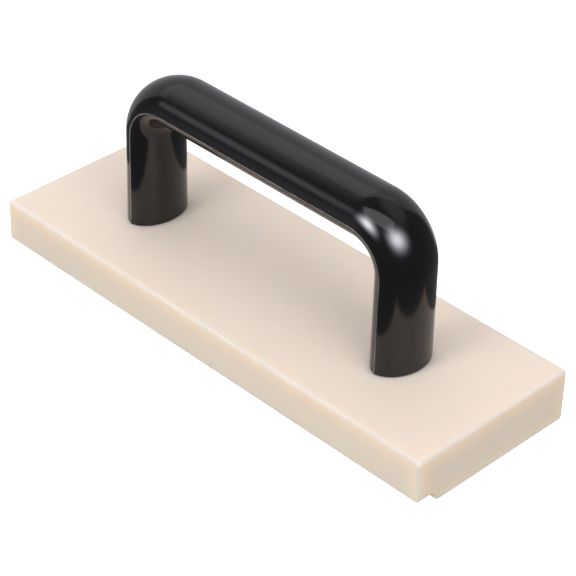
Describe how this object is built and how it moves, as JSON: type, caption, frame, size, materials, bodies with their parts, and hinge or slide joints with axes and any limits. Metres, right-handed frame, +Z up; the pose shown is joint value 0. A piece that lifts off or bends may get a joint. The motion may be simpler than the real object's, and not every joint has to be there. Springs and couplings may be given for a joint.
{
  "type": "squeegee applicator",
  "caption": "Rigid hand applicator: a flat rectangular nylon block with a rebated lower edge and a black bridge handle bolted on from below.",
  "frame": {"origin": "middle of the bounding box at the height of the block's sole, on the surface that the tool stands on", "axes": "+X along the block and the grip, +Y across the block away from the rebated working edge, +Z up from the sole to the grip"},
  "size_m": [0.2, 0.07, 0.0785],
  "materials": {
    "nylon_block": "satin, slightly translucent cream nylon with paler worn edges",
    "handle_plastic": "glossy black moulded plastic with a fine parting line",
    "insert_brass": "machined and knurled",
    "plated_steel": "bright zinc plated"
  },
  "bodies": {
    "root": {"applicator_block": "nylon_block", "handle": "handle_plastic", "insert_left": "insert_brass", "insert_right": "insert_brass", "screw_left": "plated_steel", "screw_right": "plated_steel", "spring_washer_left": "plated_steel", "spring_washer_right": "plated_steel", "washer_left": "plated_steel", "washer_right": "plated_steel"}
  },
  "joints": []
}
